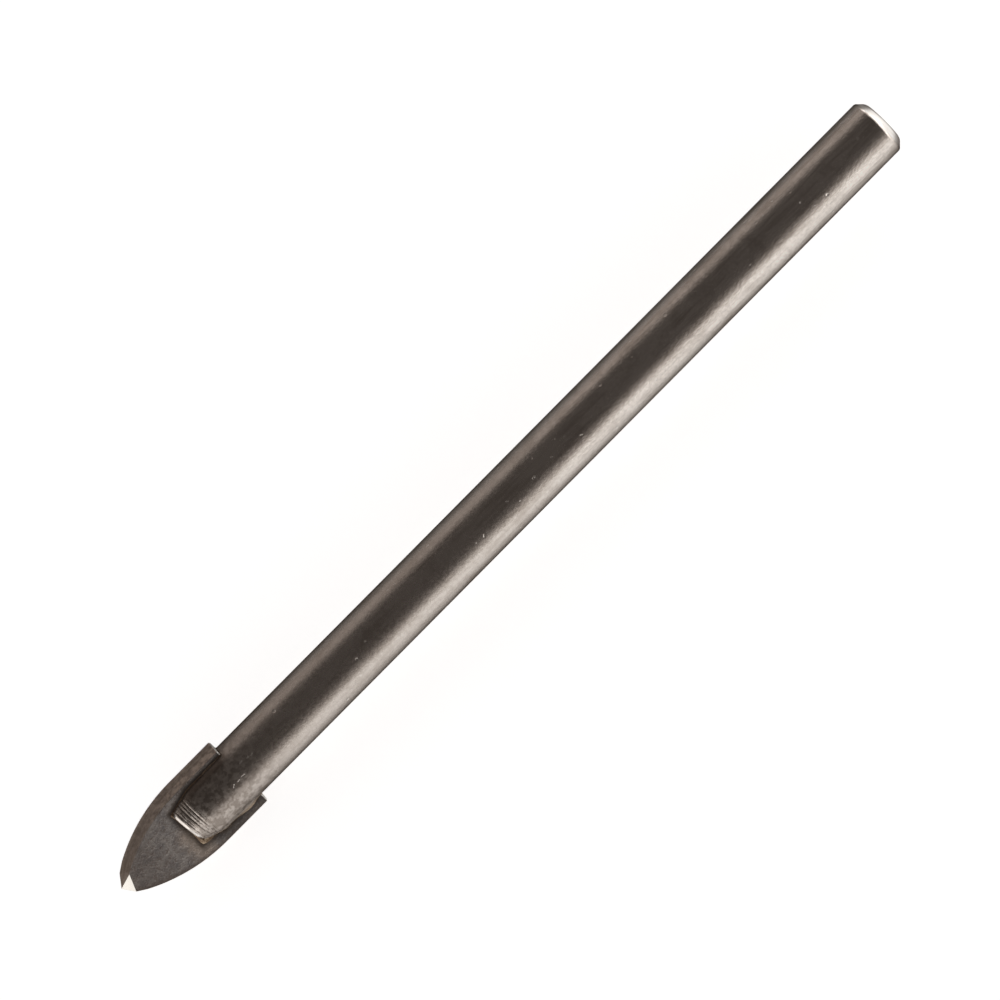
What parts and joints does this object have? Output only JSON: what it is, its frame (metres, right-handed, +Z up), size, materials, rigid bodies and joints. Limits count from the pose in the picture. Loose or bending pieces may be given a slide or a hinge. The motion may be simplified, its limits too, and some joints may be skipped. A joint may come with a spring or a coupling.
{
  "type": "glass and tile drill bit",
  "caption": "Round-shank drill bit for glass and tile: a flat spear-shaped carbide blade, ground to a point, brazed into the slotted and tapered front end of a plain steel shank.",
  "frame": {"origin": "bottom centre of the bounding box, on the surface that the bit lies on, halfway along its length and straight under its axis", "axes": "+X runs along the bit's axis from the point to the back end of the shank, +Z is up, and +Y completes the right hand. The bit lies on its shank and on a heel of its blade."},
  "size_m": [0.104, 0.0072, 0.0062],
  "materials": {
    "shank_steel": "dark bronze-grey oxide over ground steel, satin, bright on the turned chamfer",
    "carbide": "matte grey sintered carbide, bright where the point is ground",
    "braze": "dull brown-gold braze, heat stained"
  },
  "bodies": {
    "root": {"shank": "shank_steel", "carbide_blade": "carbide", "braze_joint": "braze"}
  },
  "joints": []
}
